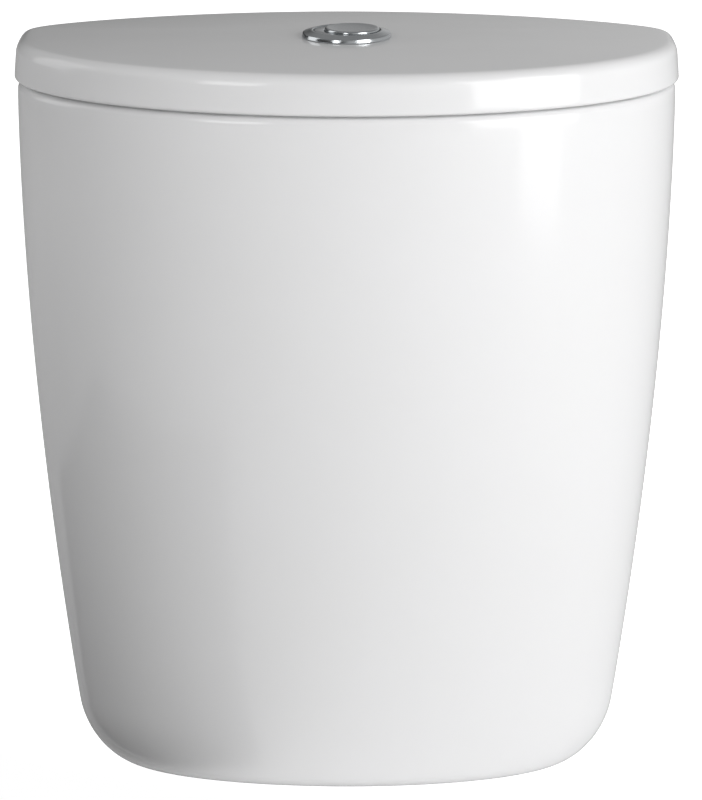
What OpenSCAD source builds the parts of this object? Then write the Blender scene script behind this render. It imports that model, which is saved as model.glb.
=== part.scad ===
// Close-coupled toilet cistern: oval china tank and lift-off lid, dual flush button,
// flush valve with overflow tube, bottom-entry fill valve and coupling bolts.
// Millimetres. Origin on the flush outlet's axis in the plane of the base rim, +Z up, front towards -Y.

/* [Lid] */
// Width of the lid
lid_w = 360; // [340:1:380]
// Widest line of the lid to its front edge
lid_front = 113; // [106:1:120]
// Widest line of the lid to its back edge
lid_back = 91; // [84:1:98]
// Height of the lid's edge
lid_h = 21.6; // [19:0.2:28]
// Rise of the lid's top from its edge to its middle
lid_dome = 3.2; // [2:0.1:6]
// Lean of the lid's edge, from its bottom to its top
lid_draft = 1; // [0.4:0.2:2]
// Rounding of the lid's top edge
lid_top_r = 7; // [4:0.5:9]
// Rounding of the lid's bottom edge
lid_low_r = 2; // [1:0.5:4]
// Thickness of the lid's china
lid_wall = 10; // [8:0.5:12]
// Depth of the lip that keeps the lid in place
lip_drop = 8; // [5:0.5:12]
// Thickness of the lip
lip_t = 7; // [5:0.5:10]

/* [Tank] */
// Height of the tank up to the lid's seat
tank_h = 379; // [360:1:400]
// Lid standing out past the tank all round
overhang = 1.6; // [1:0.1:3]
// Half width of the tank at its base, before the corners are rounded
base_half_w = 141.6; // [134:0.2:150]
// Power of the curve that the sides follow
side_power = 1.8; // [1.4:0.02:2.2]
// Widest line of the base to its front edge
base_front = 52; // [48:1:60]
// Power of the curve that the front follows
front_power = 1.75; // [1.4:0.05:2.4]
// Widest line moving forward from the rim to the base
base_shift = 30; // [26:1:36]
// Widest line of the lid behind the flush outlet's axis
widest_back = 14; // [11:1:17]
// Share of the plan's back half that its bowed edge gives up towards the corners
back_bow = 0.56; // [0.5:0.01:0.6]
// Power of the plan's back corners: more is tighter
back_power = 9; // [6:0.5:12]
// Depth of the flat cut on the back for the wall
back_flat = 3; // [1:0.5:6]
// Bottom corners, width of the rounding
corner_w = 28.6; // [22:0.2:32]
// Bottom corners, height of the rounding
corner_h = 36; // [28:1:44]
// Rounding of the base's front and back edges
foot_r = 6.2; // [4:0.2:8]
// Flat width of the base rim
foot_w = 6; // [4:0.5:8]
// Rounding of the tank's top edge
rim_r = 4; // [2:0.5:5]
// Height of the dark seam between the tank and the lid's edge
seam_h = 1.4; // [0.8:0.1:2]
// Depth of the seam
seam_w = 6.5; // [5.5:0.5:7]
// Thickness of the tank's china
tank_wall = 10; // [8:0.5:12]
// Thickness of the tank's floor
floor_t = 11; // [9:0.5:14]
// Height of the recess under the floor
recess_h = 36; // [34:1:42]

/* [Flush button] */
// Outer radius of the bezel
bezel_r = 24.2; // [23.4:0.2:27]
// Height of the bezel's inner edge over the lid
bezel_h = 3.9; // [3.2:0.1:4.5]
// Height of the bezel's outer rim over the lid
bezel_rim = 2; // [1.5:0.1:2.6]
// Radius of the two buttons together
button_r = 17.7; // [17.2:0.1:18.4]
// Radius of the round full flush button
disc_r = 14.8; // [14:0.1:15.2]
// Full flush button standing over the bezel
disc_rise = 1.2; // [0.6:0.1:2]
// Depth of the buttons' skirts below the lid's top
skirt_h = 11; // [9.5:0.5:13]
// Wall of the buttons and of their guide
button_wall = 1.8; // [1.4:0.1:2]
// Travel of each button
press = 6; // [4:0.5:6.5]
// Radius of the push rods
rod_r = 1.8; // [1.5:0.1:2]
// Distance of each push rod from the button's axis
rod_x = 14.4; // [14.2:0.1:14.6]
// Length of the guide below the lid's top, without the buttons' travel
guide_len = 30; // [26:1:38]
// Thickness of the ring nut under the lid
ring_nut_h = 8; // [6:0.5:12]
// Width of the ring nut's flange
ring_nut_w = 7; // [5:0.5:9]
// Thickness of the washer under the bezel
bezel_washer_t = 0.8; // [0.5:0.1:1]

/* [Return springs] */
// Radius of the spring wire
wire_r = 0.35; // [0.25:0.05:0.4]
// Mean radius of the spring
coil_r = 2.8; // [2.7:0.05:2.85]
// Curls in each spring
curls = 6; // [4:1:8]

/* [Flush valve] */
// Radius of the threaded outlet tail
tail_r = 29.8; // [28.5:0.1:30.5]
// Radius of the flush outlet's bore
outlet_r = 25; // [23.5:0.1:26]
// Radius of the valve's flange
flange_r = 42; // [41:0.5:43]
// Thickness of the valve's flange
flange_t = 5; // [4:0.5:7]
// Height of the seat over the flange
seat_h = 6; // [5:0.5:9]
// Outer radius of the tower
tower_r = 38.5; // [38:0.1:38.8]
// Width of each tower post
post_w = 7; // [5:0.5:9]
// Radial depth of each tower post
post_t = 4; // [3:0.2:4.4]
// Top of the tower's plate below the tank's rim
plate_drop = 96; // [90:1:104]
// Thickness of the tower's plate
plate_t = 4; // [3:0.5:6]
// Outer radius of the overflow tube
tube_r = 15; // [14:0.2:15.6]
// Wall of the overflow tube
tube_wall = 2; // [1.6:0.1:2.5]
// Top of the overflow tube below the tower's plate, when both lifts have raised it
tube_drop = 4; // [2:0.5:12]
// Radius of the flush seal
seal_r = 32.5; // [31:0.1:33.4]
// Thickness of the flush seal
seal_t = 3; // [2.5:0.1:4]
// Radius of the float on the overflow tube
plug_float_r = 30; // [26:0.5:32]
// Height of the float on the overflow tube
plug_float_h = 40; // [30:1:50]
// Thickness of the outlet's ring nut
tail_nut_h = 14; // [11:0.5:15]
// Radius of the outlet's ring nut
tail_nut_r = 36.5; // [35.5:0.1:37]
// Radius of the foam coupling gasket
coupling_r = 40; // [38:0.5:40.5]

/* [Flush levers] */
// Radius of the lever pins
pin_r = 2; // [1.5:0.1:2.5]
// Lever pin to the push rod's nose
arm_in = 12; // [11:0.5:13]
// Lever pin to the lifting nose
arm_out = 20; // [18:0.5:22]
// Width of the levers
lever_w = 8; // [6:0.5:9]
// Height of the lever pins over the tower's plate
pin_h = 14; // [13:0.5:17]
// Radius of the noses that the push rods press
nose_r = 3; // [2.5:0.1:3.2]

/* [Fill valve] */
// Fill valve's axis in from the side of the base
inlet_side = 67.6; // [66:0.2:70]
// Fill valve behind the outlet's axis
inlet_y = 28; // [26:0.5:30]
// Radius of the inlet's thread
inlet_r = 10.48; // [9.8:0.01:10.8]
// Radius of the water way in the riser
water_r = 5.5; // [4.5:0.1:6]
// Radius of the riser
riser_r = 8; // [7.5:0.1:8.4]
// Radius of the sleeve round the riser
sleeve_r = 11; // [10.5:0.1:11.5]
// Bottom of the valve head below the tank's rim
head_drop = 140; // [132:1:150]
// Radius of the valve head
head_r = 15; // [14:0.5:16]
// Height of the valve head
head_h = 34; // [30:1:38]
// Thickness of the valve's cap
cap_t = 7; // [5:0.5:9]
// Radius of the float
float_r = 26; // [25:0.5:27]
// Height of the float
float_h = 46; // [40:1:54]
// Bottom of the float, at its low stop, below the tank's rim
float_drop = 230; // [222:1:240]
// Travel of the float
float_travel = 10; // [7:0.5:10]
// Lever pin to the float's link
fill_arm = 25; // [24:0.5:25.5]
// Lever pin to the bleed seal
bleed_arm = 9; // [8.5:0.1:9.5]

/* [Coupling bolts] */
// Distance between the two bolts
bolt_gap = 120; // [118:0.5:122]
// Radius of the bolts
bolt_r = 4; // [3.5:0.1:4.2]
// Radius of the steel washers
washer_r = 9.5; // [8.5:0.1:10]
// Thickness of the steel washers
washer_t = 1.5; // [1:0.1:2]
// Width across the flats of the bolt nuts
nut_af = 13; // [12:0.5:14]
// Thickness of the bolt nuts
nut_h = 6.5; // [5:0.5:8]

/* [Clearances] */
// Gap round pieces that slide past each other
play = 0.3; // [0.25:0.05:0.4]
// Radial gap of a pin in its bore
pin_fit = 0.05; // [0.03:0.01:0.08]
// Gap between pieces that push on each other
touch = 0.4; // [0.35:0.05:0.5]
// Gap round a thread that fills its nut
thread_fit = 0.04; // [0.02:0.01:0.06]
// Gap round a bolt, tail or shank in the china
china_gap = 1.5; // [1:0.1:2]
// Gap between the lid's lip and the tank's wall
lip_gap = 3; // [2:0.5:4]

/* [Hidden] */
$fn = 64;
around = 72;
gasket_t = 3;
thin_t = 2;
tail_end = 0;
stud_end = 1;
inlet_end = 3;

// Heights
floor_top = recess_h + floor_t;
flange_z = floor_top + gasket_t;
flange_top = flange_z + flange_t;
seat_top = flange_top + seat_h;
seal_top = seat_top + seal_t;
plate_top = tank_h - plate_drop;
plate_z = plate_top - plate_t;
lift = press * arm_out / arm_in;
tube_top = plate_z - 2 * lift - tube_drop;
pin_z = plate_top + pin_h;
land_z = tank_h + lid_h + lid_dome;
ceiling_z = land_z - lid_dome / 2 - lid_wall;
guide_z = land_z - guide_len - press;
rod_end = pin_z + nose_r + touch;
tail_nut_z = recess_h - thin_t - tail_nut_h;

// Plans
lid_a = lid_w / 2;
tank_a = lid_a - overhang;
tank_front = lid_front - overhang;
tank_back = lid_back - overhang;
back_y = widest_back + tank_back - back_flat;
lip_in = overhang + tank_wall + lip_gap;
crown_in = lid_draft + lid_top_r;
land_k = (widest_back + bezel_r + 1) / (lid_front - crown_in);
draft = 2;

// Flush button
guide_in = button_r + play;
guide_out = guide_in + button_wall;
disc_x = button_r - disc_r;
crescent_in = disc_r + play;
crescent_end = 6;
stem_r = coil_r + wire_r;
stem_h = 5;
stem_drop = 2;
guide_floor = 3;

// Return springs
spring_low = guide_z + guide_floor + wire_r;
spring_high = land_z - skirt_h - stem_drop - wire_r;
ring_steps = 8;
wire_sides = 6;
coil_steps = curls * ring_steps;
coil_pitch = (spring_high - spring_low) / curls;

// Flush valve
spider_t = 6;
collar_r = tube_r + 5;
collar_t = 5;
lift_z = tube_top - 27;
lever_x = rod_x + arm_in;
tip_r = nose_r - 0.5;
tip_x = lever_x + arm_out;
strip_t = 3;
strip_w = 10;
strip_x = tip_x + tip_r + 1;
tab_z = pin_z + tip_r + touch;
tab_t = 3;
ear_t = 3;
ear_w = 10;
plug_float_z = seal_top + 38;
retainer_r = outlet_r - 3;

// Fill valve
inlet_x = base_half_w - inlet_side;
head_z = tank_h - head_drop;
head_top = head_z + head_h;
cap_top = head_top + cap_t;
fill_pin_h = 10;
fill_pin_z = cap_top + fill_pin_h;
fill_pin_r = 1.5;
fill_pin_x = 3;
fill_nose_r = 3;
fill_lever_w = 7;
fill_ear_w = 8;
fill_ear_t = 2.5;
fill_bar = 4;
bleed_t = 3;
bleed_r = 2.4;
bleed_drop = 8.4;
bleed_h = fill_pin_h - bleed_drop - play;
close_angle = asin(float_travel / fill_arm);
link_x = fill_arm - fill_pin_x;
link_r = 1.8;
float_z = tank_h - float_drop;
float_wall = 1.8;
stop_t = 4;
chamber_r = head_r - 3;
diaphragm_t = 3;
inlet_nut_h = 10;
inlet_nut_r = 14;
inlet_nut_z = recess_h - inlet_nut_h;
groove = 2;
inlet_flange_r = 16;
inlet_flange_t = 4;

// Coupling bolts
neck_r = bolt_r - 0.4;
bolt_nut_z = recess_h - washer_t - nut_h;
cone_r = 11;
cone_h = 7;
head_bolt_r = 8;
head_bolt_h = 5;

// Inset of a quarter-ellipse corner of height v and width w, at height z above its foot
function corner(z, v, w) = z < v ? w * (1 - sqrt(1 - pow((v - z) / v, 2))) : 0;

// One level of a shell: height, half width, front and back reach, widest line, flat limit
function level(z, a, front, back, mid, flat) = [z, a, front, back, mid, flat];

// Reach of the plan's back half at x, a share of the half width
function bowed(x) = (1 - back_bow * x * x) * pow(1 - pow(abs(x), back_power), 1 / back_power);

// Points of one level, clockwise from the back as seen from above: half an ellipse in front, a bowed back
function outline(s) = [for (i = [0:around - 1])
    let (t = 360 * i / around, x = sin(t), c = cos(t))
    [s[1] * x,
     c > 0 ? min(s[4] + s[3] * bowed(x), s[5]) : s[4] + s[2] * c,
     s[0]]];

// Level of the tank's outside at height z, moved in by a wall
function tank_level(z, inset) =
    let (u = max(0, 1 - z / tank_h), shift = base_shift * pow(u, front_power),
         foot = corner(z, foot_r, foot_r) + inset)
    level(z,
        tank_a - (tank_a - base_half_w) * pow(u, side_power) - corner(z, corner_h, corner_w) - inset,
        tank_front - (tank_front - base_front) * pow(u, front_power) - foot,
        tank_back + shift - foot, widest_back - shift, back_y - foot);

// Level of the recess under the floor
function recess_level(z, inset) =
    let (foot = foot_r + foot_w + inset)
    level(z, base_half_w - corner_w - foot_w - inset, base_front - foot,
        tank_back + base_shift - foot, widest_back - base_shift, back_y - foot);

// Level of the lid, moved in from its edge; the lip follows the tank's flat back
function lid_level(z, inset, flat = lid_w) =
    level(z, lid_a - inset, lid_front - inset, lid_back - inset, widest_back, flat);

// Level of the lid's top, at a share of the way out from the middle, down from the land round the bezel
function dome_level(k) =
    level(land_z - lid_dome * (k * k - land_k * land_k) / (1 - land_k * land_k), k * (lid_a - crown_in),
        k * (lid_front - crown_in), k * (lid_back - crown_in), widest_back, lid_w);

function lip_flat(inset) = back_y + overhang - inset;

// Solid between levels, from its first cap to its last; the caps fan out from the outlet's axis
module skin(levels) {
    last = len(levels) - 1;
    hub = len(levels) * around;
    polyhedron(
        points = concat([for (s = levels) each outline(s)], [[0, 0, levels[0][0]], [0, 0, levels[last][0]]]),
        faces = concat(
            [for (i = [0:around - 1]) [hub, (i + 1) % around, i]],
            [for (k = [0:last - 1], i = [0:around - 1])
                let (j = (i + 1) % around)
                each [[k * around + i, k * around + j, (k + 1) * around + j],
                      [k * around + i, (k + 1) * around + j, (k + 1) * around + i]]],
            [for (i = [0:around - 1]) [hub + 1, last * around + i, last * around + (i + 1) % around]]));
}

module disc(r, z0, z1) {
    translate([0, 0, z0]) cylinder(r = r, h = z1 - z0);
}

module ring(outer, inner, z0, z1) {
    difference() {
        disc(outer, z0, z1);
        disc(inner, z0 - 1, z1 + 1);
    }
}

module hexagon(af, z0, z1) {
    translate([0, 0, z0]) linear_extrude(z1 - z0) intersection_for(a = [0, 60, 120])
        rotate(a) square([af, 2 * af], center = true);
}

// Round bar along Y, centred
module cross_bar(r, length) {
    rotate([90, 0, 0]) cylinder(r = r, h = length, center = true);
}

module at_bolts() {
    for (side = [-1, 1]) translate([side * bolt_gap / 2, 0, 0]) children();
}

module at_fill_valve() {
    translate([-inlet_x, inlet_y, 0]) children();
}

module tank() {
    lower = [for (k = [0:10]) tank_level(corner_h * (1 - cos(9 * k)), 0)];
    rim_z = tank_h - seam_h;
    outside = [for (k = [1:12]) tank_level(corner_h + (rim_z - rim_r - corner_h) * k / 12, 0)];
    rim = [for (k = [1:3]) tank_level(rim_z - rim_r * (1 - sin(30 * k)), rim_r * (1 - cos(30 * k)))];
    inside = [for (k = [6:-1:0])
        tank_level(floor_top + 9 + (tank_h - 2 - floor_top - 9) * k / 6, tank_wall)];
    color("white") difference() {
        skin(concat(
            [recess_level(recess_h, draft), recess_level(0, 0)], lower, outside, rim,
            [tank_level(rim_z, seam_w), tank_level(tank_h, seam_w), tank_level(tank_h, tank_wall - 2)],
            inside,
            [tank_level(floor_top + 3, tank_wall + 2), tank_level(floor_top, tank_wall + 6)]));
        disc(tail_r + china_gap, recess_h - 1, floor_top + 1);
        at_bolts() disc(bolt_r + china_gap, recess_h - 1, floor_top + 1);
        at_fill_valve() disc(inlet_r + china_gap, recess_h - 1, floor_top + 1);
    }
}

module lid() {
    lip_out = lip_in + lip_t;
    low = [for (k = [0:4]) lid_level(tank_h + lid_low_r * (1 - cos(22.5 * k)),
        lid_low_r * (1 - sin(22.5 * k)))];
    high = [for (k = [0:5]) lid_level(tank_h + lid_h - lid_top_r * (1 - sin(15 * k)),
        lid_draft + lid_top_r * (1 - cos(15 * k)))];
    color("white") difference() {
        skin(concat(
            [lid_level(ceiling_z, lip_out + 6, lip_flat(lip_out + 6)),
             lid_level(ceiling_z - 6, lip_out, lip_flat(lip_out)),
             lid_level(tank_h - lip_drop, lip_out, lip_flat(lip_out)),
             lid_level(tank_h - lip_drop, lip_in, lip_flat(lip_in)),
             lid_level(tank_h, lip_in, lip_flat(lip_in))],
            low, high, [for (k = [6:-1:0]) dome_level(land_k + (1 - land_k) * k / 6)]));
        disc(guide_out + play, ceiling_z - 1, land_z + 1);
    }
}

module bezel() {
    top = land_z + bezel_h;
    seat = land_z + bezel_washer_t + 1;
    rim_in = guide_out + 2.6;
    color("silver") rotate_extrude() polygon([
        [guide_in, seat], [rim_in, seat], [rim_in, land_z + 0.1], [bezel_r, land_z + 0.1],
        [bezel_r, land_z + 0.6], [bezel_r - 1.2, land_z + bezel_rim], [guide_in + 0.6, top],
        [guide_in, top - 0.6]]);
}

module bezel_washer() {
    color("dimgray") ring(guide_out + 2.2, guide_out + play, land_z, land_z + bezel_washer_t);
}

module button_guide() {
    flange_z = land_z + bezel_washer_t;
    color("gainsboro") difference() {
        union() {
            ring(guide_out, guide_in, guide_z, flange_z + 1);
            ring(guide_out + 2.3, guide_in, flange_z, flange_z + 1);
            disc(guide_out, guide_z, guide_z + guide_floor);
        }
        for (side = [-1, 1]) translate([side * rod_x, 0, 0])
            disc(rod_r + play, guide_z - 1, guide_z + guide_floor + 1);
    }
}

module ring_nut() {
    color("gainsboro") difference() {
        ring(guide_out + ring_nut_w, guide_out + thread_fit, ceiling_z - ring_nut_h, ceiling_z);
        for (a = [0:30:330]) rotate(a) translate([guide_out + ring_nut_w + 1.2, 0, 0])
            disc(2.4, ceiling_z - ring_nut_h - 1, ceiling_z + 1);
    }
}

module full_flush_button() {
    low = land_z - skirt_h - stem_drop;
    edge = low + press + play;
    top = land_z + bezel_h + disc_rise;
    color("silver") difference() {
        union() {
            translate([disc_x, 0, 0]) rotate_extrude() polygon([[0, top - 2.4],
                [disc_r - button_wall, top - 2.4], [disc_r - button_wall, edge], [disc_r, edge],
                [disc_r, top - 0.7], [disc_r - 0.7, top], [0, top]]);
            intersection() {
                translate([rod_x, 0, 0]) disc(stem_r, low, top - 2);
                disc(button_r, low - 1, top);
            }
        }
        translate([rod_x, 0, 0]) disc(rod_r + thread_fit, low - 1, land_z - skirt_h + stem_h);
    }
}

module half_flush_button() {
    low = land_z - skirt_h - stem_drop;
    top = land_z + bezel_h - 0.4;
    color("silver") difference() {
        intersection() {
            disc(button_r, low, top);
            translate([crescent_end - 2 * button_r, 0, (low + top) / 2])
                cube([4 * button_r, 4 * button_r, 2 * (top - low)], center = true);
        }
        translate([disc_x, 0, 0]) disc(crescent_in, low - 1, top + 1);
        translate([-rod_x, 0, 0]) disc(rod_r + thread_fit, low - 1, land_z - skirt_h + stem_h);
    }
}

module push_rod(side) {
    translate([side * rod_x, 0, 0]) disc(rod_r, rod_end, land_z - skirt_h + stem_h);
}

module full_push_rod() {
    color("whitesmoke") push_rod(1);
}

module half_push_rod() {
    color("whitesmoke") push_rod(-1);
}

// Point of a spring's middle line
function coil_point(i) = let (t = 360 * i / ring_steps)
    [coil_r * cos(t), coil_r * sin(t), spring_low + coil_pitch * i / ring_steps];

// Ring of the wire round such a point
function wire_ring(i) = let (t = 360 * i / ring_steps, c = coil_point(i))
    [for (k = [0:wire_sides - 1]) let (w = 360 * k / wire_sides)
        c + wire_r * [cos(w) * cos(t), cos(w) * sin(t), sin(w)]];

module spring() {
    polyhedron(
        points = [for (i = [0:coil_steps]) each wire_ring(i)],
        faces = concat(
            [[for (k = [0:wire_sides - 1]) k]],
            [for (i = [0:coil_steps - 1], k = [0:wire_sides - 1])
                let (m = (k + 1) % wire_sides, p = i * wire_sides, q = p + wire_sides)
                each [[p + k, q + k, q + m], [p + k, q + m, p + m]]],
            [[for (k = [wire_sides - 1:-1:0]) coil_steps * wire_sides + k]]));
}

// Least gap of a spring to its own next curl, measured between points of the middle line
spring_gap = min([for (i = [0:ring_steps], j = [ring_steps / 2 + i:coil_steps])
    norm(coil_point(i) - coil_point(j)) - 2 * wire_r]);
echo(spring_gap = spring_gap);

module full_spring() {
    color("silver") translate([rod_x, 0, 0]) spring();
}

module half_spring() {
    color("silver") translate([-rod_x, 0, 0]) spring();
}

module valve_seat() {
    wide = outlet_r + 1;
    color("whitesmoke") {
        ring(tail_r, outlet_r, tail_end, floor_top + 1);
        ring(tail_r, wide, floor_top + 1, flange_top);
        ring(flange_r, tail_r - 1, flange_z, flange_top);
        ring(wide + 3, wide, flange_top, seat_top);
        for (a = [0:60:300]) rotate(a) translate([tower_r + thread_fit, -5, flange_top - 1])
            cube([flange_r - tower_r - 0.6, 10, 10]);
    }
}

module seat_gasket() {
    color("dimgray") ring(flange_r - 1, tail_r + thread_fit, floor_top, flange_z);
}

module friction_washer() {
    color("whitesmoke") ring(tail_nut_r, tail_r + thread_fit, recess_h - thin_t, recess_h);
}

module tail_nut() {
    color("whitesmoke") difference() {
        ring(tail_nut_r, tail_r + thread_fit, tail_nut_z, recess_h - thin_t);
        for (a = [0:45:315]) rotate(a) translate([tail_nut_r - 2.5, -6, tail_nut_z - 1])
            cube([10, 12, tail_nut_h - 3]);
    }
}

module coupling_gasket() {
    inner = tail_r + thread_fit;
    color("dimgray") rotate_extrude() polygon([[inner, 1], [coupling_r - 2, 1], [coupling_r, 5],
        [coupling_r, tail_nut_z - 6], [coupling_r - 3, tail_nut_z], [inner, tail_nut_z]]);
}

module valve_tower() {
    color("whitesmoke") {
        ring(tower_r, tower_r - post_t, flange_top, flange_top + 9);
        for (a = [30:60:330]) rotate(a) {
            translate([tower_r - post_t, -post_w / 2, flange_top + 1])
                cube([post_t - 0.4, post_w, plate_z - flange_top - 1]);
            translate([collar_r - 1, -2, lift_z - spider_t])
                cube([tower_r - collar_r - 1, 4, spider_t]);
        }
        ring(collar_r, tube_r + play, lift_z - spider_t, lift_z);
    }
}

module lever_bridge() {
    wing = strip_x + strip_t + 4;
    wing_w = strip_w + 16;
    ear_y = lever_w / 2 + play;
    color("lightgray") difference() {
        union() {
            disc(tower_r, plate_z, plate_top);
            translate([-wing, -wing_w / 2, plate_z]) cube([2 * wing, wing_w, plate_t]);
            for (side = [-1, 1], face = [-1, 1])
                translate([side * lever_x - ear_w / 2, face * (ear_y + ear_t / 2) - ear_t / 2, plate_top - 1])
                    cube([ear_w, ear_t, pin_h + ear_w / 2 + 1]);
        }
        disc(lever_x - 6, plate_z - 1, plate_top + 0.5);
        for (side = [-1, 1]) {
            translate([side * lever_x, 0, pin_z]) cross_bar(pin_r + thread_fit, tower_r);
            translate([side * (strip_x + strip_t / 2) - strip_t / 2 - play, -strip_w / 2 - play, plate_z - 1])
                cube([strip_t + 2 * play, strip_w + 2 * play, plate_t + 2]);
        }
    }
}

module overflow_tube() {
    color("whitesmoke") {
        ring(tube_r, tube_r - tube_wall, seat_top - 6, tube_top);
        ring(seal_r - 2, tube_r - 1, seal_top, seal_top + 4);
        ring(collar_r, tube_r - 1, lift_z + spider_t, lift_z + spider_t + collar_t);
    }
}

module flush_seal() {
    color("crimson") ring(seal_r, tube_r + thread_fit, seat_top, seal_top);
}

module seal_retainer() {
    color("whitesmoke") difference() {
        ring(retainer_r, tube_r + thread_fit, seat_top - 4, seat_top);
        for (a = [0:60:300]) rotate(a) translate([retainer_r + 0.6, 0, 0])
            disc(2, seat_top - 5, seat_top + 1);
    }
}

module plug_float() {
    inner = tube_r + thread_fit;
    top = plug_float_z + plug_float_h;
    color("deepskyblue") rotate_extrude() polygon([[inner, plug_float_z], [inner + 1.6, plug_float_z],
        [inner + 1.6, top - 2], [plug_float_r - 1.6, top - 2], [plug_float_r - 1.6, plug_float_z],
        [plug_float_r, plug_float_z], [plug_float_r, top], [inner, top]]);
}

// Arm from a collar out to a strip with a tab over the lever's lifting nose
module lift_arm(z0, z1) {
    translate([collar_r - 1.5, -4, z0]) cube([strip_x - collar_r + 2, 8, z1 - z0]);
    translate([strip_x, -strip_w / 2, z0]) cube([strip_t, strip_w, tab_z + tab_t - z0]);
    translate([tip_x - 5, -strip_w / 2, tab_z]) cube([strip_x - tip_x + 6, strip_w, tab_t]);
}

module full_lifter() {
    color("steelblue") {
        ring(collar_r, tube_r + play, lift_z, lift_z + spider_t);
        lift_arm(lift_z, lift_z + spider_t);
    }
}

module half_lifter() {
    low = lift_z + spider_t + collar_t;
    color("steelblue") {
        ring(collar_r, tube_r + thread_fit, low, low + 6);
        mirror([1, 0, 0]) lift_arm(low, low + 6);
    }
}

module lever() {
    translate([lever_x, 0, pin_z]) rotate([90, 0, 0]) linear_extrude(lever_w, center = true) difference() {
        union() {
            translate([-arm_in, 0]) circle(nose_r);
            translate([arm_out, 0]) circle(tip_r);
            translate([-arm_in, -2]) square([arm_in + arm_out, 4]);
            circle(pin_r + 2.5);
        }
        circle(pin_r + pin_fit);
    }
}

module full_lever() {
    color("orange") lever();
}

module half_lever() {
    color("orange") mirror([1, 0, 0]) lever();
}

module lever_pins() {
    color("silver") for (side = [-1, 1])
        translate([side * lever_x, 0, pin_z]) cross_bar(pin_r, lever_w + 2 * play + 2 * ear_t + 1);
}

module inlet_shank() {
    color("whitesmoke") at_fill_valve() difference() {
        union() {
            disc(inlet_r, inlet_end, flange_z + 1);
            disc(inlet_flange_r, flange_z, flange_z + inlet_flange_t);
            disc(riser_r, flange_z + 1, head_z + head_h / 2);
        }
        disc(water_r, inlet_end - 1, head_z + head_h);
        ring(inlet_r + 1, inlet_r - 0.5, inlet_nut_z - groove, inlet_nut_z);
    }
}

module inlet_filter() {
    color("gainsboro") at_fill_valve() difference() {
        disc(water_r - thread_fit, inlet_end, inlet_end + 24);
        disc(water_r - 1.2, inlet_end - 1, inlet_end + 22);
        for (a = [0:60:120], z = [4:5:19]) translate([0, 0, inlet_end + z]) rotate(a)
            cross_bar(1.2, 3 * water_r);
    }
}

module inlet_gasket() {
    color("dimgray") at_fill_valve() ring(inlet_flange_r, inlet_r + thread_fit, floor_top, flange_z);
}

module inlet_nut() {
    color("whitesmoke") at_fill_valve() difference() {
        union() {
            hexagon((inlet_nut_r - 0.6) * sqrt(3), inlet_nut_z, recess_h - 2);
            disc(inlet_nut_r, recess_h - 2, recess_h);
        }
        disc(inlet_r + thread_fit, inlet_nut_z - 1, recess_h + 1);
    }
}

module downflow_sleeve() {
    low = flange_z + inlet_flange_t;
    color("whitesmoke") at_fill_valve() difference() {
        ring(sleeve_r, riser_r + 0.5, low, head_z);
        for (a = [45, 135]) rotate(a) translate([-20, -3, low + 4]) cube([40, 6, 14]);
    }
}

module float_stop() {
    color("steelblue") at_fill_valve() ring(sleeve_r + 3, sleeve_r + thread_fit, float_z - stop_t, float_z);
}

module valve_head() {
    color("whitesmoke") at_fill_valve() difference() {
        disc(head_r, head_z, head_top);
        disc(riser_r + thread_fit, head_z - 1, head_z + head_h / 2);
        disc(2.5, head_z, head_top);
        disc(chamber_r, head_top - diaphragm_t - 4, head_top + 1);
    }
}

module diaphragm() {
    color("dimgray") at_fill_valve() {
        disc(chamber_r - thread_fit, head_top - diaphragm_t, head_top);
        disc(4, head_top - diaphragm_t - 4, head_top - diaphragm_t + 1);
    }
}

module valve_cap() {
    ear_y = fill_lever_w / 2 + play;
    ear_top = fill_pin_z + fill_pin_r + 2;
    color("steelblue") at_fill_valve() difference() {
        union() {
            disc(head_r + 1, head_top, cap_top);
            translate([fill_pin_x + bleed_arm, 0, 0]) disc(bleed_r, cap_top - 1, cap_top + bleed_h);
            for (face = [-1, 1])
                translate([fill_pin_x, face * (ear_y + fill_ear_t / 2), (cap_top - 1 + ear_top) / 2])
                    cube([fill_ear_w, fill_ear_t, ear_top - cap_top + 1], center = true);
        }
        translate([fill_pin_x, 0, fill_pin_z]) cross_bar(fill_pin_r + thread_fit, 4 * head_r);
        translate([fill_pin_x + bleed_arm, 0, 0]) disc(0.8, head_top - 1, cap_top + bleed_h + 1);
    }
}

// Pad under the fill lever, tilted so that it lies flat on the nozzle when the float is up
module bleed_pad(r) {
    translate([fill_pin_x, 0, fill_pin_z]) rotate([0, -close_angle, 0])
        translate([bleed_arm, 0, -bleed_drop]) cylinder(r = r, h = bleed_t);
}

module fill_lever() {
    color("orange") at_fill_valve() difference() {
        translate([fill_pin_x, 0, fill_pin_z])
            rotate([90, 0, 0]) linear_extrude(fill_lever_w, center = true) difference() {
                union() {
                    translate([-fill_arm, 0]) circle(fill_nose_r);
                    translate([-fill_arm, -fill_bar / 2]) square([fill_arm + bleed_arm + 6, fill_bar]);
                    circle(fill_pin_r + 2);
                }
                circle(fill_pin_r + pin_fit);
            }
        bleed_pad(bleed_r + thread_fit);
    }
}

module bleed_seal() {
    color("dimgray") at_fill_valve() bleed_pad(bleed_r);
}

module fill_lever_pin() {
    color("silver") at_fill_valve() translate([fill_pin_x, 0, fill_pin_z])
        cross_bar(fill_pin_r, fill_lever_w + 2 * play + 2 * fill_ear_t + 1);
}

module fill_float() {
    inner = sleeve_r + play;
    top = float_z + float_h;
    color("deepskyblue") at_fill_valve() rotate_extrude() polygon([[inner, float_z],
        [inner + float_wall, float_z], [inner + float_wall, top - 2], [float_r - float_wall, top - 2],
        [float_r - float_wall, float_z], [float_r, float_z], [float_r, top], [inner, top]]);
}

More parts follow.
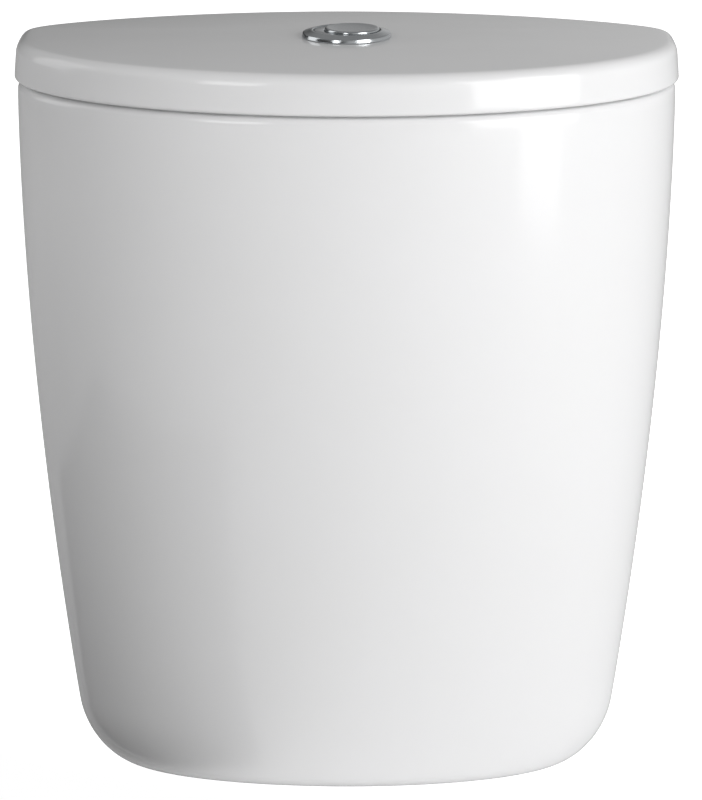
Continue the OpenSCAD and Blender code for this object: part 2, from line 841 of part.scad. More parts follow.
module float_link() {
    top = fill_pin_z - fill_nose_r - touch;
    color("silver") at_fill_valve() translate([-link_x, 0, 0]) {
        disc(link_r, float_z + float_h, top);
        disc(link_r + 1.6, float_z + float_h, float_z + float_h + 3);
        disc(link_r + 1.6, top - 3, top);
    }
}

module coupling_bolts() {
    low = floor_top + cone_h;
    color("goldenrod") at_bolts() {
        disc(bolt_r, stud_end, bolt_nut_z);
        disc(neck_r, bolt_nut_z - 1, low + 1);
        disc(head_bolt_r, low, low + head_bolt_h);
    }
}

module cone_washers() {
    inner = neck_r + thread_fit;
    collar = bolt_r + china_gap - 0.2;
    color("dimgray") at_bolts() rotate_extrude() polygon([[inner, floor_top - 4], [collar, floor_top - 4],
        [collar, floor_top], [cone_r, floor_top], [cone_r, floor_top + 3],
        [head_bolt_r, floor_top + cone_h], [inner, floor_top + cone_h]]);
}

module plate_washers() {
    color("silver") at_bolts() ring(washer_r, bolt_r + thread_fit, recess_h - washer_t, recess_h);
}

module bolt_nuts() {
    color("goldenrod") at_bolts() difference() {
        hexagon(nut_af, bolt_nut_z, bolt_nut_z + nut_h);
        disc(neck_r + thread_fit, bolt_nut_z - 1, bolt_nut_z + nut_h + 1);
    }
}

tank();
lid();
bezel();
bezel_washer();
button_guide();
ring_nut();
full_flush_button();
half_flush_button();
full_push_rod();
half_push_rod();
full_spring();
half_spring();
valve_seat();
seat_gasket();
friction_washer();
tail_nut();
coupling_gasket();
valve_tower();
lever_bridge();
overflow_tube();
flush_seal();
seal_retainer();
plug_float();
full_lifter();
half_lifter();
full_lever();
half_lever();
lever_pins();
inlet_shank();
inlet_filter();
inlet_gasket();
inlet_nut();
downflow_sleeve();
float_stop();
valve_head();
diaphragm();
valve_cap();
fill_lever();
bleed_seal();
fill_lever_pin();
fill_float();
float_link();
coupling_bolts();
cone_washers();
plate_washers();
bolt_nuts();
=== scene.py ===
from math import asin, cos, pi, radians, sin, sqrt

import bmesh
import bpy
from mathutils import Matrix, Vector


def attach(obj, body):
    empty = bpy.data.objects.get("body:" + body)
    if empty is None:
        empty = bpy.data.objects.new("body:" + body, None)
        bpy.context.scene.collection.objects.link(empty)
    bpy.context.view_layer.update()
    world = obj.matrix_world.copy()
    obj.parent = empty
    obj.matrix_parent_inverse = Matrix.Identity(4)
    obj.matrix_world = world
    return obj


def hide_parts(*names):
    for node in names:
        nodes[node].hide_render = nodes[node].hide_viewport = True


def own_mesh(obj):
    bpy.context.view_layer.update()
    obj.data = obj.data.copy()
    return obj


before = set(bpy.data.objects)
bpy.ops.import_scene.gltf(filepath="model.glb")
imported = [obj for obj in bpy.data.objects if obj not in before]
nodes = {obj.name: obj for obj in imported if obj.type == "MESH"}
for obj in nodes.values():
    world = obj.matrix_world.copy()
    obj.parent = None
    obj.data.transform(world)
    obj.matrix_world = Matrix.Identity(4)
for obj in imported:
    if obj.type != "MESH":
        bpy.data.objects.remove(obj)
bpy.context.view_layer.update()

# Sizes in millimetres, in the same frame as the solids: origin on the flush outlet's axis, front towards -Y
MM = 0.001
AROUND = 96

# Lid
LID_HALF_W = 180.0
LID_FRONT = 113.0
LID_BACK = 91.0
LID_H = 21.6
LID_DOME = 3.2
LID_DRAFT = 1.0
LID_TOP_R = 7.0
LID_LOW_R = 2.0
LID_WALL = 10.0
LIP_DROP = 8.0
LIP_T = 7.0
LIP_GAP = 3.0
WIDEST = 14.0
BACK_BOW = 0.56
BACK_POWER = 9.0

# Tank
TANK_H = 379.0
OVERHANG = 1.6
BASE_HALF_W = 141.6
SIDE_POWER = 1.8
BASE_FRONT = 52.0
FRONT_POWER = 1.75
BASE_SHIFT = 30.0
BACK_FLAT = 3.0
CORNER_W = 28.6
CORNER_H = 36.0
FOOT_R = 6.2
FOOT_W = 6.0
RIM_R = 4.0
SEAM_H = 1.4
SEAM_W = 6.5
TANK_WALL = 10.0
FLOOR_T = 11.0
RECESS_H = 36.0
RECESS_DRAFT = 2.0
OUTLET_HOLE_R = 31.3
BOLT_HOLE_R = 5.5
BOLT_GAP = 120.0
INLET_HOLE_R = 11.98
INLET = (-74.0, 28.0)

# Flush button
BEZEL_R = 24.2
BEZEL_H = 3.9
BEZEL_RIM = 2.0
LID_HOLE_R = 20.1
BUTTON_R = 17.7
WELL_R = 18.0
DISC_R = 14.8
DISC_RISE = 1.2
CRESCENT_IN = 15.1
CRESCENT_END = 6.0
BUTTON_WALL = 1.8
PRESS = 6.0
SKIRT_CLEAR = 0.6

# Return springs, between the guide's floor and the buttons' stems, both measured down from the lid's top
GUIDE_FLOOR_DROP = 33.0
STEM_DROP = 13.0
WIRE_R = 0.35
COIL_R = 2.8
CURLS = 6
ROD_X = 14.4

FLOOR_TOP = RECESS_H + FLOOR_T
TANK_HALF_W = LID_HALF_W - OVERHANG
TANK_FRONT = LID_FRONT - OVERHANG
TANK_BACK = LID_BACK - OVERHANG
BACK_Y = WIDEST + TANK_BACK - BACK_FLAT
RIM_Z = TANK_H - SEAM_H
LAND_Z = TANK_H + LID_H + LID_DOME
CEILING_Z = LAND_Z - LID_DOME / 2 - LID_WALL
CROWN_IN = LID_DRAFT + LID_TOP_R
LAND_SHARE = (WIDEST + BEZEL_R + 1) / (LID_FRONT - CROWN_IN)
DISC_X = BUTTON_R - DISC_R
SPRING_LOW = LAND_Z - GUIDE_FLOOR_DROP
SPRING_HIGH = LAND_Z - STEM_DROP


# Rings of points

def oval(z, half_w, front, back, widest, flat=1000.0):
    """Level ring: half an ellipse in front, a bowed back with tight corners, cut straight at the wall."""
    ring = []
    for step in range(AROUND):
        turn = 2 * pi * step / AROUND
        across = sin(turn)
        if cos(turn) > 1e-6:
            bowed = (1 - BACK_BOW * across ** 2) * (1 - abs(across) ** BACK_POWER) ** (1 / BACK_POWER)
            along = back * bowed
        else:
            along = front * cos(turn)
        ring.append(Vector((half_w * across, min(widest + along, flat), z)) * MM)
    return ring


def circle(z, r, x=0.0):
    """Level round ring beside the outlet's axis."""
    turns = [2 * pi * step / AROUND for step in range(AROUND)]
    return [Vector((x + r * sin(turn), r * cos(turn), z)) * MM for turn in turns]


def corner(z, height, width):
    """How far a quarter-ellipse corner stands back at height z."""
    return width * (1 - sqrt(1 - ((height - z) / height) ** 2)) if z < height else 0.0


def tank_ring(z, inset=0.0):
    """Ring of the tank's wall: sides and front narrow towards the base, corners round off."""
    down = max(0.0, 1 - z / TANK_H)
    shift = BASE_SHIFT * down ** FRONT_POWER
    foot = corner(z, FOOT_R, FOOT_R) + inset
    half_w = TANK_HALF_W - (TANK_HALF_W - BASE_HALF_W) * down ** SIDE_POWER
    return oval(
        z,
        half_w - corner(z, CORNER_H, CORNER_W) - inset,
        TANK_FRONT - (TANK_FRONT - BASE_FRONT) * down ** FRONT_POWER - foot,
        TANK_BACK + shift - foot,
        WIDEST - shift,
        BACK_Y - foot,
    )


def recess_ring(z, inset=0.0):
    """Ring of the recess under the floor."""
    foot = FOOT_R + FOOT_W + inset
    half_w = BASE_HALF_W - CORNER_W - FOOT_W - inset
    back = TANK_BACK + BASE_SHIFT - foot
    return oval(z, half_w, BASE_FRONT - foot, back, WIDEST - BASE_SHIFT, BACK_Y - foot)


def lid_ring(z, inset=0.0):
    return oval(z, LID_HALF_W - inset, LID_FRONT - inset, LID_BACK - inset, WIDEST)


def lip_ring(z, inset):
    """Ring of the lid's lip, which follows the tank's flat back."""
    flat = BACK_Y + OVERHANG - inset
    return oval(z, LID_HALF_W - inset, LID_FRONT - inset, LID_BACK - inset, WIDEST, flat)


def dome_ring(share):
    """Ring of the lid's top, at a share of the way out from its middle."""
    fall = LID_DOME * (share ** 2 - LAND_SHARE ** 2) / (1 - LAND_SHARE ** 2)
    reach = [share * (size - CROWN_IN) for size in (LID_HALF_W, LID_FRONT, LID_BACK)]
    return oval(LAND_Z - fall, *reach, WIDEST)


# Modelling

def start():
    """Leaves nothing selected, so that the next primitive is alone."""
    bpy.ops.object.select_all(action="DESELECT")


def put_ring(piece, ring):
    """Moves the selected ring of points to its place."""
    mesh = bmesh.from_edit_mesh(piece.data)
    order = mesh.verts.layers.int["order"]
    for vert in mesh.verts:
        if vert.select:
            vert.co = ring[vert[order]]
    bmesh.update_edit_mesh(piece.data)


def loft(name, rings, closed):
    """Skin drawn up from a circle ring by ring; its ends are joined to each other, or capped."""
    start()
    bpy.ops.mesh.primitive_circle_add(vertices=len(rings[0]), radius=rings[0][0].length)
    piece = bpy.context.object
    piece.name = name
    bpy.ops.object.mode_set(mode="EDIT")
    mesh = bmesh.from_edit_mesh(piece.data)
    order = mesh.verts.layers.int.new("order")
    for place, vert in enumerate(mesh.verts):
        vert[order] = place
    put_ring(piece, rings[0])
    for ring in rings[1:]:
        bpy.ops.mesh.extrude_edges_move()
        put_ring(piece, ring)
    bpy.ops.mesh.select_all(action="DESELECT")
    bpy.ops.mesh.select_mode(type="EDGE")
    bpy.ops.mesh.select_non_manifold()
    if closed:
        bpy.ops.mesh.bridge_edge_loops()
    else:
        bpy.ops.mesh.fill_holes(sides=0)
    bpy.ops.mesh.select_all(action="SELECT")
    bpy.ops.mesh.normals_make_consistent(inside=False)
    bpy.ops.object.mode_set(mode="OBJECT")
    return piece


def apply(piece, kind, **settings):
    """Adds a modifier with its settings and applies it."""
    bpy.context.view_layer.objects.active = piece
    modifier = piece.modifiers.new(kind.title(), kind)
    for name, value in settings.items():
        setattr(modifier, name, value)
    bpy.ops.object.modifier_apply(modifier=modifier.name)


def smooth(piece, levels):
    """Subdivides a lofted skin into its smooth surface."""
    apply(piece, "SUBSURF", levels=levels, render_levels=levels)


def drill(piece, r, x, y, low, high):
    """Round hole through a piece."""
    start()
    bpy.ops.mesh.primitive_cylinder_add(
        vertices=48, radius=r * MM, depth=(high - low) * MM, location=(x * MM, y * MM, (low + high) / 2 * MM))
    tool = bpy.context.object
    apply(piece, "BOOLEAN", object=tool, operation="DIFFERENCE", solver="EXACT")
    bpy.data.objects.remove(tool)


def shade(piece, angle):
    """Smooth shading, with edges sharper than the angle kept crisp."""
    start()
    piece.select_set(True)
    bpy.context.view_layer.objects.active = piece
    bpy.ops.object.shade_smooth_by_angle(angle=radians(angle))


def fit(piece, node, body, material):
    """Puts a finished piece in its node's stead, on the node's body."""
    piece.data.materials.clear()
    piece.data.materials.append(material)
    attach(piece, body)
    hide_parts(node)


def model_tank():
    """Slip-cast tank, one skin from the outlet's hole round the foot, over the rim and back down inside."""
    ceiling = [
        circle(RECESS_H, OUTLET_HOLE_R),
        circle(RECESS_H, OUTLET_HOLE_R + 1),
        recess_ring(RECESS_H, RECESS_DRAFT + 7),
        recess_ring(RECESS_H - 0.8, RECESS_DRAFT + 3),
        recess_ring(RECESS_H - 3, RECESS_DRAFT + 0.8),
        recess_ring(RECESS_H - 7, RECESS_DRAFT - 0.2),
    ]
    foot = [recess_ring(1.4), recess_ring(0.4, -0.4), recess_ring(0, -1.4)]
    lower = [tank_ring(CORNER_H * (1 - cos(radians(7.5 * step)))) for step in range(13)]
    rise = (RIM_Z - RIM_R - CORNER_H) / 14
    outside = [tank_ring(CORNER_H + rise * step) for step in range(1, 15)]
    rim = [
        tank_ring(RIM_Z - RIM_R * (1 - sin(radians(22.5 * step))), RIM_R * (1 - cos(radians(22.5 * step))))
        for step in range(1, 5)
    ]
    inner_rim = [
        tank_ring(RIM_Z, SEAM_W - 0.3),
        tank_ring(RIM_Z, SEAM_W),
        tank_ring(TANK_H - 0.3, SEAM_W),
        tank_ring(TANK_H, SEAM_W + 0.3),
        tank_ring(TANK_H, TANK_WALL - 2.5),
        tank_ring(TANK_H - 0.7, TANK_WALL - 0.7),
        tank_ring(TANK_H - 2.5, TANK_WALL),
    ]
    floor_round = 14.0
    drop = (TANK_H - 12 - FLOOR_TOP - floor_round) / 8
    inside = [tank_ring(TANK_H - 12 - drop * step, TANK_WALL) for step in range(9)]
    floor = [
        tank_ring(FLOOR_TOP + 7, TANK_WALL + 1),
        tank_ring(FLOOR_TOP + 2.5, TANK_WALL + 4),
        tank_ring(FLOOR_TOP + 0.4, TANK_WALL + 9),
        tank_ring(FLOOR_TOP, TANK_WALL + 16),
        circle(FLOOR_TOP, OUTLET_HOLE_R + 1),
        circle(FLOOR_TOP, OUTLET_HOLE_R),
        circle(FLOOR_TOP - 1, OUTLET_HOLE_R),
        circle(RECESS_H + 1, OUTLET_HOLE_R),
    ]
    skin = ceiling + foot + lower + outside + rim + inner_rim + inside + floor
    tank = loft("tank_china", skin, closed=True)
    smooth(tank, 1)
    for side in (-1, 1):
        drill(tank, BOLT_HOLE_R, side * BOLT_GAP / 2, 0, RECESS_H - 1, FLOOR_TOP + 1)
    drill(tank, INLET_HOLE_R, *INLET, RECESS_H - 1, FLOOR_TOP + 1)
    shade(tank, 45)
    return tank


def model_lid():
    """Slip-cast lid, one skin from the button's hole round the lip and the edge, and over the top."""
    lip_in = OVERHANG + TANK_WALL + LIP_GAP
    lip_out = lip_in + LIP_T
    lip_low = TANK_H - LIP_DROP
    under = [
        circle(CEILING_Z, LID_HOLE_R),
        circle(CEILING_Z, LID_HOLE_R + 1),
        lip_ring(CEILING_Z, lip_out + 12),
        lip_ring(CEILING_Z - 0.6, lip_out + 6),
        lip_ring(CEILING_Z - 2.4, lip_out + 2),
        lip_ring(CEILING_Z - 6, lip_out),
    ]
    lip = [
        lip_ring(lip_low + 2, lip_out),
        lip_ring(lip_low + 0.5, lip_out - 0.5),
        lip_ring(lip_low, lip_out - 2),
        lip_ring(lip_low, lip_in + 2),
        lip_ring(lip_low + 0.5, lip_in + 0.5),
        lip_ring(lip_low + 2, lip_in),
        lip_ring(TANK_H - 1.5, lip_in),
        lip_ring(TANK_H, lip_in - 1.5),
        lid_ring(TANK_H, LID_LOW_R + 1),
    ]
    low = [
        lid_ring(
            TANK_H + LID_LOW_R * (1 - cos(radians(18 * step))),
            LID_LOW_R * (1 - sin(radians(18 * step))))
        for step in range(6)
    ]
    high = [
        lid_ring(
            TANK_H + LID_H - LID_TOP_R * (1 - sin(radians(11.25 * step))),
            LID_DRAFT + LID_TOP_R * (1 - cos(radians(11.25 * step))))
        for step in range(8)
    ]
    dome = [dome_ring(1 - (1 - LAND_SHARE) * step / 6) for step in range(7)]
    hole = [
        circle(LAND_Z, LID_HOLE_R + 2.4),
        circle(LAND_Z, LID_HOLE_R + 1),
        circle(LAND_Z, LID_HOLE_R),
        circle(LAND_Z - 1, LID_HOLE_R),
        circle(CEILING_Z + 1, LID_HOLE_R),
    ]
    lid = loft("lid_china", under + lip + low + high + dome + hole, closed=True)
    smooth(lid, 1)
    shade(lid, 45)
    return lid


def model_bezel():
    """Plated ring round the buttons: a steep outer wall, then a low cone that rises to the well."""
    top = LAND_Z + BEZEL_H
    rim = LAND_Z + BEZEL_RIM
    seat = LAND_Z + 1.8
    profile = [
        (WELL_R, seat), (WELL_R + 4.4, seat), (WELL_R + 4.4, LAND_Z + 0.1), (BEZEL_R - 0.3, LAND_Z + 0.1),
        (BEZEL_R, LAND_Z + 0.3), (BEZEL_R - 0.1, LAND_Z + 0.8), (BEZEL_R - 0.4, rim + 0.15),
        (BEZEL_R - 0.55, rim + 0.4), (BEZEL_R - 0.9, rim + 0.6), (BEZEL_R - 3.0, rim + 1.1),
        (WELL_R + 1.4, top - 0.15), (WELL_R + 0.5, top), (WELL_R + 0.1, top - 0.2), (WELL_R, top - 0.6),
    ]
    bezel = loft("bezel_chrome", [circle(z, r) for r, z in profile], closed=True)
    smooth(bezel, 1)
    shade(bezel, 50)
    return bezel


def model_full_button():
    """Round plated button: a cap with a dished top and a rolled edge."""
    top = LAND_Z + BEZEL_H + DISC_RISE
    low = SPRING_HIGH + PRESS + SKIRT_CLEAR
    inner = DISC_R - BUTTON_WALL
    profile = [
        (0.4, top - 2.4), (inner - 1, top - 2.4), (inner, top - 2.6), (inner, top - 3.4),
        (inner, low + 0.4), (inner + 0.2, low), (DISC_R - 0.2, low), (DISC_R, low + 0.4),
        (DISC_R, top - 2.0), (DISC_R, top - 1.0),
        (DISC_R - 0.15, top - 0.45), (DISC_R - 0.5, top - 0.12), (DISC_R - 1.1, top),
        (DISC_R - 2.0, top - 0.05), (DISC_R - 4.0, top - 0.28), (DISC_R / 2, top - 0.5), (0.4, top - 0.6),
    ]
    button = loft("full_flush_button_chrome", [circle(z, r, DISC_X) for r, z in profile], closed=False)
    smooth(button, 1)
    shade(button, 50)
    return button


def crescent_outline():
    """Outer arc, blunt end and inner arc of the crescent, as points of a plan."""
    end_out = asin(CRESCENT_END / BUTTON_R)
    end_in = asin((CRESCENT_END - DISC_X) / CRESCENT_IN)
    steps = AROUND // 2
    outer_span = pi + 2 * end_out
    inner_span = pi + 2 * end_in
    outer = [pi / 2 - end_out + outer_span * step / steps for step in range(steps + 1)]
    inner = [3 * pi / 2 + end_in - inner_span * step / steps for step in range(steps + 1)]
    return (
        [(BUTTON_R * cos(turn), BUTTON_R * sin(turn)) for turn in outer]
        + [(DISC_X + CRESCENT_IN * cos(turn), CRESCENT_IN * sin(turn)) for turn in inner]
    )


def model_half_button():
    """Crescent plated button, drawn down from its plan and rounded along its edges."""
    top = LAND_Z + BEZEL_H - 0.4
    low = LAND_Z - STEM_DROP
    plan = [Vector((x, y, low)) * MM for x, y in crescent_outline()]
    start()
    bpy.ops.mesh.primitive_circle_add(vertices=len(plan), radius=BUTTON_R * MM)
    button = bpy.context.object
    button.name = "half_flush_button_chrome"
    bpy.ops.object.mode_set(mode="EDIT")
    mesh = bmesh.from_edit_mesh(button.data)
    for vert, point in zip(mesh.verts, plan):
        vert.co = point
    bmesh.update_edit_mesh(button.data)
    bpy.ops.mesh.edge_face_add()
    bpy.ops.mesh.extrude_region_move(TRANSFORM_OT_translate={"value": (0, 0, (top - low) * MM)})
    bpy.ops.mesh.select_all(action="SELECT")
    bpy.ops.mesh.normals_make_consistent(inside=False)
    bpy.ops.object.mode_set(mode="OBJECT")
    apply(button, "BEVEL", width=0.6 * MM, segments=4, limit_method="ANGLE", angle_limit=radians(40))
    shade(button, 40)
    return button


def model_spring(name, x):
    """Return spring: round wire wound up from its lowest curl."""
    start()
    bpy.ops.mesh.primitive_circle_add(
        vertices=10, radius=WIRE_R * MM, location=(COIL_R * MM, 0, (SPRING_LOW + WIRE_R) * MM),
        rotation=(pi / 2, 0, 0))
    spring = bpy.context.object
    spring.name = name
    bpy.ops.object.transform_apply(location=True, rotation=True, scale=True)
    rise = (SPRING_HIGH - SPRING_LOW - 2 * WIRE_R) / CURLS
    apply(spring, "SCREW", screw_offset=rise * MM, iterations=CURLS, steps=24, render_steps=24)
    bpy.ops.object.mode_set(mode="EDIT")
    bpy.ops.mesh.select_all(action="SELECT")
    bpy.ops.transform.translate(value=(x * MM, 0, 0))
    bpy.ops.mesh.select_all(action="DESELECT")
    bpy.ops.mesh.select_mode(type="EDGE")
    bpy.ops.mesh.select_non_manifold()
    bpy.ops.mesh.fill_holes(sides=0)
    bpy.ops.mesh.select_all(action="SELECT")
    bpy.ops.mesh.normals_make_consistent(inside=False)
    bpy.ops.object.mode_set(mode="OBJECT")
    shade(spring, 50)
    return spring


# Materials

def linear(code):
    """Linear colour of an sRGB hex value."""
    parts = [int(code[place:place + 2], 16) / 255 for place in (1, 3, 5)]
    return (*[part / 12.92 if part <= 0.04045 else ((part + 0.055) / 1.055) ** 2.4 for part in parts], 1.0)


def add(tree, kind, inputs, **settings):
    """Adds a node with its settings, numbers and links."""
    node = tree.nodes.new(kind)
    for name, value in settings.items():
        setattr(node, name, value)
    for name, value in inputs.items():
        if isinstance(value, bpy.types.NodeSocket):
            tree.links.new(value, node.inputs[name])
        else:
            node.inputs[name].default_value = value
    return node


def new_material(name):
    """Empty node material, with the place on the piece that its patterns read."""
    material = bpy.data.materials.new(name)
    material.use_nodes = True
    tree = material.node_tree
    tree.nodes.clear()
    return material, tree, add(tree, "ShaderNodeTexCoord", {}).outputs["Object"]


def surface(material, tree, inputs):
    """Closes a material with one shader."""
    shader = add(tree, "ShaderNodeBsdfPrincipled", inputs)
    add(tree, "ShaderNodeOutputMaterial", {"Surface": shader.outputs["BSDF"]})
    return material


def per(size_mm):
    """Texture scale of a pattern whose features are this many millimetres apart."""
    return 1 / (size_mm * MM)


def noise(tree, place, size_mm, detail):
    """Cloudy pattern from 0 to 1, with features this many millimetres apart."""
    inputs = {"Vector": place, "Scale": per(size_mm), "Detail": detail}
    return add(tree, "ShaderNodeTexNoise", inputs).outputs["Fac"]


def relief(tree, height, strength, depth_mm):
    """Normal of a surface that a pattern raises."""
    inputs = {"Height": height, "Strength": strength, "Distance": depth_mm * MM}
    return add(tree, "ShaderNodeBump", inputs).outputs["Normal"]


def spread(tree, value, low, high):
    """A pattern's 0 to 1 turned into a range."""
    return add(tree, "ShaderNodeMapRange", {"Value": value, "To Min": low, "To Max": high}).outputs["Result"]


def between(tree, value, code_a, code_b):
    """A pattern's 0 to 1 turned into a colour between two."""
    mix = add(tree, "ShaderNodeMix", {"Factor": value}, data_type="RGBA")
    mix.inputs[6].default_value = linear(code_a)
    mix.inputs[7].default_value = linear(code_b)
    return mix.outputs[2]


def glazed_china():
    """Vitreous china dipped in clear glaze and fired: bright white, glossy, with slow waves in the glaze."""
    material, tree, place = new_material("glazed_vitreous_china")
    cloud = noise(tree, place, 90, 2.0)
    wave = noise(tree, place, 45, 1.0)
    pit = noise(tree, place, 2.5, 2.0)
    height = add(tree, "ShaderNodeMath", {0: pit, 1: 0.02, 2: wave}, operation="MULTIPLY_ADD")
    return surface(material, tree, {
        "Base Color": between(tree, cloud, "#f4f4f4", "#f7f7f8"),
        "Roughness": spread(tree, pit, 0.08, 0.14),
        "IOR": 1.52,
        "Normal": relief(tree, height.outputs["Value"], 0.25, 0.5),
    })


def chrome_plate():
    """Chrome plated on a polished moulding: soft dark mirror with bright edges and faint wipe marks."""
    material, tree, place = new_material("chrome_plate_on_moulding")
    wipe = noise(tree, place, 6, 4.0)
    grain = noise(tree, place, 0.4, 2.0)
    return surface(material, tree, {
        "Base Color": between(tree, wipe, "#c3c7ca", "#cdd0d2"),
        "Metallic": 1.0,
        "Roughness": spread(tree, grain, 0.14, 0.22),
        "Normal": relief(tree, wipe, 0.06, 0.1),
    })


def moulded_polypropylene(name, code, shade_code):
    """Injection-moulded polypropylene: satin, slightly milky, with a fine spark-eroded grain."""
    material, tree, place = new_material(name)
    cloud = noise(tree, place, 25, 3.0)
    grain = noise(tree, place, 0.8, 2.0)
    return surface(material, tree, {
        "Base Color": between(tree, cloud, shade_code, code),
        "Roughness": spread(tree, grain, 0.32, 0.48),
        "IOR": 1.49,
        "Normal": relief(tree, grain, 0.15, 0.1),
    })


def moulded_rubber():
    """Compression-moulded rubber: near black, dull, with a dusty bloom in patches."""
    material, tree, place = new_material("moulded_black_rubber")
    bloom = noise(tree, place, 9, 5.0)
    grain = noise(tree, place, 0.6, 2.0)
    return surface(material, tree, {
        "Base Color": between(tree, bloom, "#1b1b1c", "#2c2c2d"),
        "Roughness": spread(tree, bloom, 0.55, 0.8),
        "IOR": 1.52,
        "Normal": relief(tree, grain, 0.2, 0.1),
    })


def silicone():
    """Press-cured silicone: a soft red with a slippery sheen."""
    material, tree, place = new_material("press_cured_red_silicone")
    cloud = noise(tree, place, 12, 3.0)
    return surface(material, tree, {
        "Base Color": between(tree, cloud, "#9c2f28", "#b23a31"),
        "Roughness": spread(tree, cloud, 0.35, 0.5),
        "IOR": 1.41,
    })


def closed_cell_foam():
    """Blown closed-cell foam: dull black skin cut open into small cells."""
    material, tree, place = new_material("closed_cell_foam")
    cells = add(tree, "ShaderNodeTexVoronoi", {"Vector": place, "Scale": per(0.9)}).outputs["Distance"]
    return surface(material, tree, {
        "Base Color": between(tree, cells, "#161616", "#343434"),
        "Roughness": spread(tree, cells, 0.75, 0.95),
        "Normal": relief(tree, cells, 0.6, 0.3),
    })


def drawn_steel():
    """Drawn stainless steel: grey metal with long faint die lines."""
    material, tree, place = new_material("drawn_stainless_steel")
    along = add(tree, "ShaderNodeMapping", {"Vector": place, "Scale": (1.0, 1.0, 0.05)})
    lines = noise(tree, along.outputs["Vector"], 0.3, 3.0)
    return surface(material, tree, {
        "Base Color": between(tree, lines, "#a9abad", "#c6c8c9"),
        "Metallic": 1.0,
        "Roughness": spread(tree, lines, 0.22, 0.38),
    })


def turned_brass():
    """Brass turned from bar: yellow metal with fine tool rings and a dull film in patches."""
    material, tree, place = new_material("turned_brass")
    rings = add(
        tree, "ShaderNodeTexWave", {"Vector": place, "Scale": per(1.2) / 6.28, "Distortion": 0.4},
        bands_direction="Z")
    film = noise(tree, place, 7, 4.0)
    return surface(material, tree, {
        "Base Color": between(tree, film, "#a88245", "#cfa865"),
        "Metallic": 1.0,
        "Roughness": spread(tree, film, 0.25, 0.42),
        "Normal": relief(tree, rings.outputs["Fac"], 0.2, 0.1),
    })


# The cistern

china = glazed_china()
chrome = chrome_plate()
white = moulded_polypropylene("moulded_white_polypropylene", "#f1f1ee", "#e8e8e4")
blue = moulded_polypropylene("moulded_blue_polypropylene", "#3f79b4", "#356ba3")
grey = moulded_polypropylene("moulded_grey_acetal", "#a3a6ab", "#95989d")
rubber = moulded_rubber()
red = silicone()
foam = closed_cell_foam()
steel = drawn_steel()
brass = turned_brass()

FITTINGS = {
    white: (
        "button_guide", "ring_nut", "full_push_rod", "half_push_rod", "valve_seat", "friction_washer",
        "tail_nut", "valve_tower", "overflow_tube", "seal_retainer", "inlet_shank", "inlet_nut",
        "downflow_sleeve", "valve_head"),
    blue: ("plug_float", "full_lever", "half_lever", "fill_lever", "fill_float"),
    grey: ("lever_bridge", "full_lifter", "half_lifter", "inlet_filter", "float_stop", "valve_cap"),
    rubber: ("bezel_washer", "seat_gasket", "inlet_gasket", "diaphragm", "bleed_seal", "cone_washers"),
    red: ("flush_seal",),
    foam: ("coupling_gasket",),
    steel: ("lever_pins", "fill_lever_pin", "float_link", "plate_washers"),
    brass: ("coupling_bolts", "bolt_nuts"),
}
for material, names in FITTINGS.items():
    for name in names:
        nodes[name].data.materials.clear()
        nodes[name].data.materials.append(material)

fit(model_tank(), "tank", "cistern", china)
fit(model_lid(), "lid", "lid", china)
fit(model_bezel(), "bezel", "lid", chrome)
fit(model_full_button(), "full_flush_button", "full_button", chrome)
fit(model_half_button(), "half_flush_button", "half_button", chrome)
RETURN_SPRINGS = (
    ("full_spring", "full_flush_press", ROD_X),
    ("half_spring", "half_flush_press", -ROD_X),
)
for name, joint, x in RETURN_SPRINGS:
    spring = model_spring(name + "_wire", x)
    fit(spring, name, "lid", steel)
    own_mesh(spring)


# The studio

def studio_paper():
    """Seamless white paper: matt, and overlit where the camera sees it, so that it fades out to white."""
    material, tree, place = new_material("seamless_paper")
    fibre = noise(tree, place, 4, 4.0)
    seen = add(tree, "ShaderNodeLightPath", {}).outputs["Is Camera Ray"]
    return surface(material, tree, {
        "Base Color": between(tree, fibre, "#f2f2f2", "#f6f6f6"),
        "Roughness": spread(tree, fibre, 0.85, 0.95),
        "Emission Color": linear("#ffffff"),
        "Emission Strength": spread(tree, seen, 0.0, 1.0),
    })


def painted_shade_sheet():
    """Black felt sheet: painted shade standing in for the floor's shadow on the left; it swallows the light
    that would bounce up from the paper.
    """
    material, tree, place = new_material("painted_floor_shade")
    nap = noise(tree, place, 1.5, 4.0)
    return surface(material, tree, {
        "Base Color": between(tree, nap, "#0c0c0c", "#1c1c1c"),
        "Roughness": spread(tree, nap, 0.9, 1.0),
    })


def lay_sheet(name, place, size, turn, material):
    """Flat sheet of the studio, lying level and turned by so many degrees."""
    start()
    bpy.ops.mesh.primitive_plane_add(size=1, location=place)
    sheet = bpy.context.object
    sheet.name = name
    sheet.scale = (*size, 1)
    sheet.rotation_euler.z = radians(turn)
    bpy.ops.object.transform_apply(location=False, rotation=True, scale=True)
    sheet.data.materials.append(material)
    return sheet


def hang_light(name, place, aim, size, power):
    """Rectangular softbox facing the object."""
    start()
    bpy.ops.object.light_add(type="AREA", location=place)
    light = bpy.context.object
    light.name = name
    light.data.shape = "RECTANGLE"
    light.data.size, light.data.size_y = size
    light.data.energy = power
    light.rotation_euler = (Vector(aim) - Vector(place)).to_track_quat("-Z", "Y").to_euler()


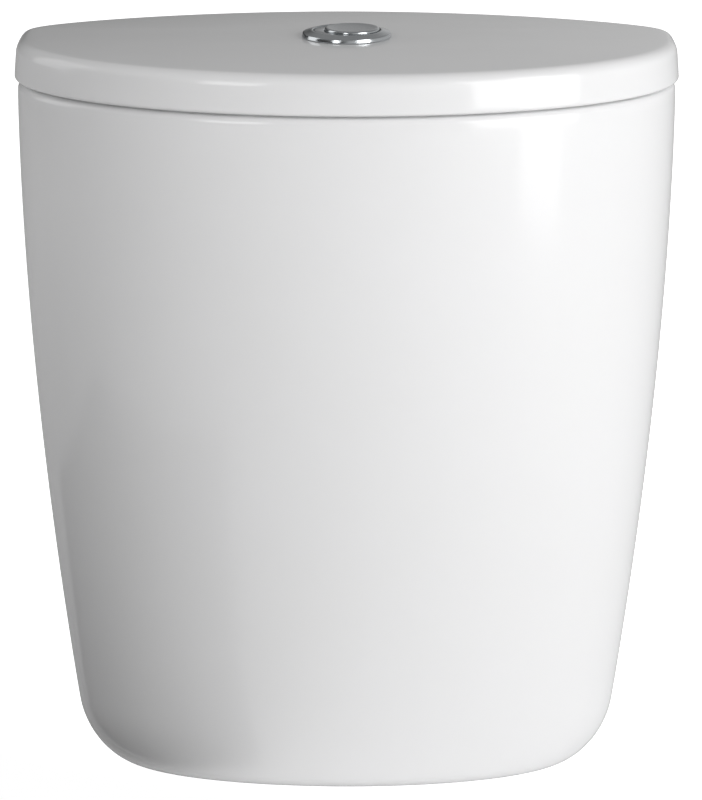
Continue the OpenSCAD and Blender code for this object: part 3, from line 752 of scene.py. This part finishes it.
def light_world(dim, bright, above):
    """Room with walls dim on the left and brighter on the right, an even ceiling, and white to the camera."""
    world = bpy.data.worlds.new("studio")
    bpy.context.scene.world = world
    world.use_nodes = True
    tree = world.node_tree
    tree.nodes.clear()
    seen = add(tree, "ShaderNodeLightPath", {}).outputs["Is Camera Ray"]
    toward = add(tree, "ShaderNodeTexCoord", {}).outputs["Generated"]
    parts = add(tree, "ShaderNodeSeparateXYZ", {"Vector": toward}).outputs
    walls = add(tree, "ShaderNodeMapRange", {
        "Value": parts["X"], "From Min": -0.14, "From Max": 0.09, "To Min": dim, "To Max": bright})
    height = add(tree, "ShaderNodeMapRange", {"Value": parts["Z"], "From Min": 0.2, "From Max": 0.5})
    strength = add(tree, "ShaderNodeMix", {0: height.outputs["Result"], 2: walls.outputs["Result"], 3: above})
    room = add(tree, "ShaderNodeBackground", {"Color": linear("#ffffff"), "Strength": strength.outputs[0]})
    white_back = add(tree, "ShaderNodeBackground", {"Color": linear("#ffffff"), "Strength": 1.0})
    mix = add(tree, "ShaderNodeMixShader", {0: seen, 1: room.outputs[0], 2: white_back.outputs[0]})
    add(tree, "ShaderNodeOutputWorld", {"Surface": mix.outputs[0]})


def set_camera():
    """Camera in front of the cistern and a little above it, as far off as the photograph's."""
    place = Vector((0, -2.511, 0.854))
    pitch, yaw, roll = radians(14.558), radians(-0.060), radians(0.1)
    focal_px, long_side_px = 4731, 800
    start()
    bpy.ops.object.camera_add(location=place)
    camera = bpy.context.object
    turn = Matrix.Rotation(yaw, 3, "Z") @ Matrix.Rotation(pi / 2 - pitch, 3, "X")
    camera.rotation_euler = (turn @ Matrix.Rotation(roll, 3, "Z")).to_euler()
    camera.data.lens = camera.data.sensor_width * focal_px / long_side_px
    camera.data.clip_end = 100
    bpy.context.scene.camera = camera


lay_sheet("floor", (0, 0, 0), (30, 30), 0, studio_paper())
# Dark sheet on the floor at the cistern's left, hidden from the camera: painted shade standing in for the
# floor's shadow there
painted_shade_patch = lay_sheet("painted_shade_patch", (-0.435, -0.153, 0.001), (0.6, 0.5), -30, painted_shade_sheet())
painted_shade_patch.visible_camera = False
light_world(0.05, 0.52, 0.28)
hang_light("key", (1.7, -1.65, 0.9), (0, 0, 0.3), (1.5, 1.8), 28)
hang_light("strip", (1.0, -0.84, 0.8), (0, 0, 0.8), (0.3, 1.6), 2.3)
hang_light("front", (-1.5, -2.9, 1.3), (0, 0, 0.2), (0.9, 1.5), 12.6)
hang_light("left", (-1.6, 0.3, 1.0), (0, 0, 0.6), (1.0, 1.4), 5.4)
set_camera()
bpy.context.scene.view_settings.view_transform = "Standard"
